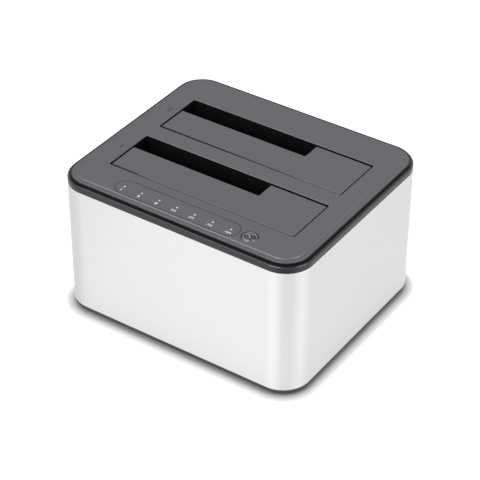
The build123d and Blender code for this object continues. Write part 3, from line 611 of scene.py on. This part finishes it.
def roundedPath(inset):
    # A quarter circle at each corner, one after the other, joined by the straight sides
    quarter = np.linspace(0, math.pi / 2, rimGutterShade["turns"])
    spots = []
    for turn, signs in enumerate(((1, 1), (-1, 1), (-1, -1), (1, -1))):
        angle = quarter + turn * math.pi / 2
        bend = (rimGutterShade["corner"] - inset) * np.stack([np.cos(angle), np.sin(angle)], axis=-1)
        spots.append(np.array(signs) * (rimHalf - rimGutterShade["corner"]) + bend)
    return np.vstack(spots)


gutterShadeRows = np.array([atLevel(roundedPath(inset), level) for inset, level in rimGutterShade["rows"]])
# The dark ring in the gutter is painted shade
putGrid("rim_gutter_shade", gutterShadeRows, finishes["dark_plastic"], "dock", closed=True)

# Button pictogram: two rings with a bar between them, for copying, inside a pale line round the
# edge, a painted highlight of the button's bevel
pictogram = {
    "x": 35.7,
    "y": -46.0,
    "rings": {  # place from the button's middle, radius and line
        "button_ring_left": ((-1.5, -0.65), 0.92, 0.7, darkInk),
        "button_ring_right": ((1.75, 0.1), 0.98, 0.9, darkInk),
        # A pale ring at the button's edge: painted highlight of its bevel
        "button_edge_highlight": ((0, 0), 2.98, 0.2, greyInk),
    },
    "bars": {  # two ends from the button's middle, and the width
        "button_bar": ((0.65, -1.35), (2.5, -2.5), 0.62, darkInk),
        "button_slash": ((-2.0, 1.35), (1.1, -0.8), 0.28, greyInk),
    },
    "sides": 48,
    "ringLift": 0.005,
    "barLift": 0.01,
}
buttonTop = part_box("clone_button")[1].z / mm
around = np.linspace(0, 2 * math.pi, pictogram["sides"], endpoint=False)


def ringPoints(centre, radius, line):
    # Two circles about one centre, radius plus and minus half the line's width
    radii = np.array([radius + line / 2, radius - line / 2])[:, None]
    return np.array(centre) + np.stack([radii * np.cos(around), radii * np.sin(around)], axis=-1)


def barPoints(start, end, width):
    # Two rows of two points, half the width to either side of the line from start to end
    start, end = np.array(start), np.array(end)
    aside = np.array([start[1] - end[1], end[0] - start[0]])
    aside = aside / np.linalg.norm(aside) * width / 2
    return np.array([[end + aside, start + aside], [end - aside, start - aside]])


buttonMiddle = [pictogram["x"], pictogram["y"]]
for name, (centre, radius, line, ink) in pictogram["rings"].items():
    points = ringPoints(centre, radius, line) + buttonMiddle
    points = atLevel(points, buttonTop + pictogram["ringLift"])
    putGrid(name, points, ink, "clone_button", closed=True)
for name, (start, end, width, ink) in pictogram["bars"].items():
    points = barPoints(start, end, width) + buttonMiddle
    points = atLevel(points, buttonTop + pictogram["barLift"])
    putGrid(name, points, ink, "clone_button")

# Rocker marks: a bar for on and a ring for off, each on its own slope of the rocker
rockerMarks = {
    "crest": (25.72, 54.783, 19.5),
    "ring": {"slope": 0, "along": 2.9, "radius": 1.05, "line": 0.36},
    "bar": {"slope": 14, "along": -2.9, "half": 1.3, "width": 0.4},  # slopes in degrees
}


def onSlope(points, slope):
    # Points run along the slope as seen from behind, then up
    turn = math.radians(slope)
    along = np.array([-math.cos(turn), -math.sin(turn), 0])
    out = np.array([-math.sin(turn), math.cos(turn), 0])
    spots = points[..., :1] * along + points[..., 1:] * np.array([0, 0, 1])
    return spots + out * inkLift + np.array(rockerMarks["crest"])


ring, bar = rockerMarks["ring"], rockerMarks["bar"]
ringMark = ringPoints((ring["along"], 0), ring["radius"], ring["line"])
barMark = barPoints((bar["along"], -bar["half"]), (bar["along"], bar["half"]), bar["width"])
putGrid("rocker_off_mark", onSlope(ringMark, ring["slope"]), paleInk, "power_rocker", closed=True)
putGrid("rocker_on_mark", onSlope(barMark, bar["slope"]), paleInk, "power_rocker")
print("prints laid")

# Studio: a pale floor, three soft boxes round the camera and a pale world
studio = {
    "floor": 3.0,
    "boxes": {
        "frontBox": {"way": (-4, 38), "away": 1.8, "size": 0.98, "power": 18.2},
        "fillBox": {"way": (-38, 42), "away": 1.8, "size": 0.7, "power": 3.9},
        "sideBox": {"way": (90, 36), "away": 0.65, "size": 0.296, "power": 1.33},
    },
    "world": 0.42,
    "floorColour": 0.4,
    "floorGlow": ((0.48, 0.0), (0.94, 0.55), (1.0, 0.9)),  # from the dock's foot to open floor, a painted contact shadow in the glow
    "shadowSamples": 16,
    "shadowReach": 0.006,
    "mirrorReach": 0.022,
    "mirrorShade": 0.4,  # how much of the contact shadow metal sees
    "mirrorShadeBands": (  # a way over the floor, and the tone that metal sees along it, in metres: darker bands seen only in reflections, painted reflections on the metal and the rim
        ((0.83, -0.56), ((-0.03, 0.84), (-0.004, 1.0))),
        ((0.574, -0.819), ((0.152, 1.0), (0.17, 0.4), (0.184, 0.4), (0.192, 1.0))),
        ((0, 1), ((-0.1, 1.0), (-0.02, 0.97), (0.12, 0.93))),
    ),
    "mirrorStart": 0.5,  # added to those places, so that none lies below nought
    "backdropFades": (0.35, 0.8),  # how high, as the sine of a ray's angle, the backdrop ends
}


def seenBy(finish, *kinds):
    # One for the rays named, nought for all others
    seen, *more = (finish.add("ShaderNodeLightPath", out=f"Is {kind} Ray") for kind in kinds)
    for path in more:
        seen = seen + path
    return seen


def litFloor(setup):
    # Seen by the camera it is lit and glows a little, less near the dock as painted contact
    # shadow; metal sees it white, with a painted contact shadow
    f = newFinish("floorWhite")
    sampled = {"samples": setup["shadowSamples"]}
    near, wide = (
        f.add("ShaderNodeAmbientOcclusion", sampled, {"Distance": setup[reach]}, out="AO")
        for reach in ("shadowReach", "mirrorReach")
    )
    lit = f.add("ShaderNodeBsdfDiffuse", {}, {"Color": (setup["floorColour"],) * 3 + (1,)})
    # The glow fades where the dock's foot is near: painted contact shadow
    glowing = f.ramp(near, *setup["floorGlow"]) * seenBy(f, "Camera")
    glow = f.add("ShaderNodeEmission", {}, {"Strength": glowing})
    direct = f.add("ShaderNodeAddShader", {}, {0: lit, 1: glow})
    floorTone = wide * setup["mirrorShade"] + (1 - setup["mirrorShade"])
    x, y = (f.add("ShaderNodeSeparateXYZ", {}, {0: f.place}, out=axis) for axis in "XY")
    # Darker bands seen only by glossy rays: painted reflections of shade on the metal and the rim
    for (acrossX, acrossY), stops in setup["mirrorShadeBands"]:
        reach = x * acrossX + y * acrossY + setup["mirrorStart"]
        bands = ((spot + setup["mirrorStart"], tone) for spot, tone in stops)
        floorTone = floorTone * f.ramp(reach, *bands)
    mirror = f.add("ShaderNodeEmission", {}, {"Strength": floorTone})
    mirrored = seenBy(f, "Glossy", "Transmission")
    surface = f.add("ShaderNodeMixShader", {}, {0: mirrored, 1: direct, 2: mirror})
    f.add("ShaderNodeOutputMaterial", {}, {"Surface": surface})
    return f.material


floorHalf = studio["floor"] / 2
floorCorners = [(x * floorHalf, y * floorHalf, 0) for x, y in ((-1, -1), (1, -1), (1, 1), (-1, 1))]
floorMesh = bpy.data.meshes.new("floor")
floorMesh.from_pydata(floorCorners, [], [(0, 1, 2, 3)])
floorMesh.materials.append(litFloor(studio))
floor = bpy.data.objects.new("floor", floorMesh)
bpy.context.scene.collection.objects.link(floor)

for name, box in studio["boxes"].items():
    way = wayTo(*box["way"])
    lamp = bpy.data.lights.new(name, "AREA")
    lamp.shape = "SQUARE"
    lamp.size = box["size"]
    lamp.energy = box["power"]
    stand = bpy.data.objects.new(name, lamp)
    bpy.context.scene.collection.objects.link(stand)
    turn = way.to_track_quat("Z", "Y").to_matrix().to_4x4()
    stand.matrix_world = Matrix.Translation(way * box["away"]) @ turn

world = bpy.data.worlds.new("paleStudio")
world.use_nodes = True
bpy.context.scene.world = world
air = Finish(world.node_tree)
way = air.add("ShaderNodeTexCoord", out="Generated")
tall = air.add("ShaderNodeSeparateXYZ", {}, {0: way}, out="Z")
backdropLow, backdropHigh = studio["backdropFades"]
backdrop = air.ramp(tall, (backdropLow, 1.0), (backdropHigh, 0.0))
white = seenBy(air, "Camera") + seenBy(air, "Glossy", "Transmission") * backdrop
strength = white * (1 - studio["world"]) + studio["world"]
glow = air.add("ShaderNodeBackground", {}, {"Color": (1, 1, 1, 1), "Strength": strength})
air.add("ShaderNodeOutputWorld", {}, {"Surface": glow})
print("studio lit")
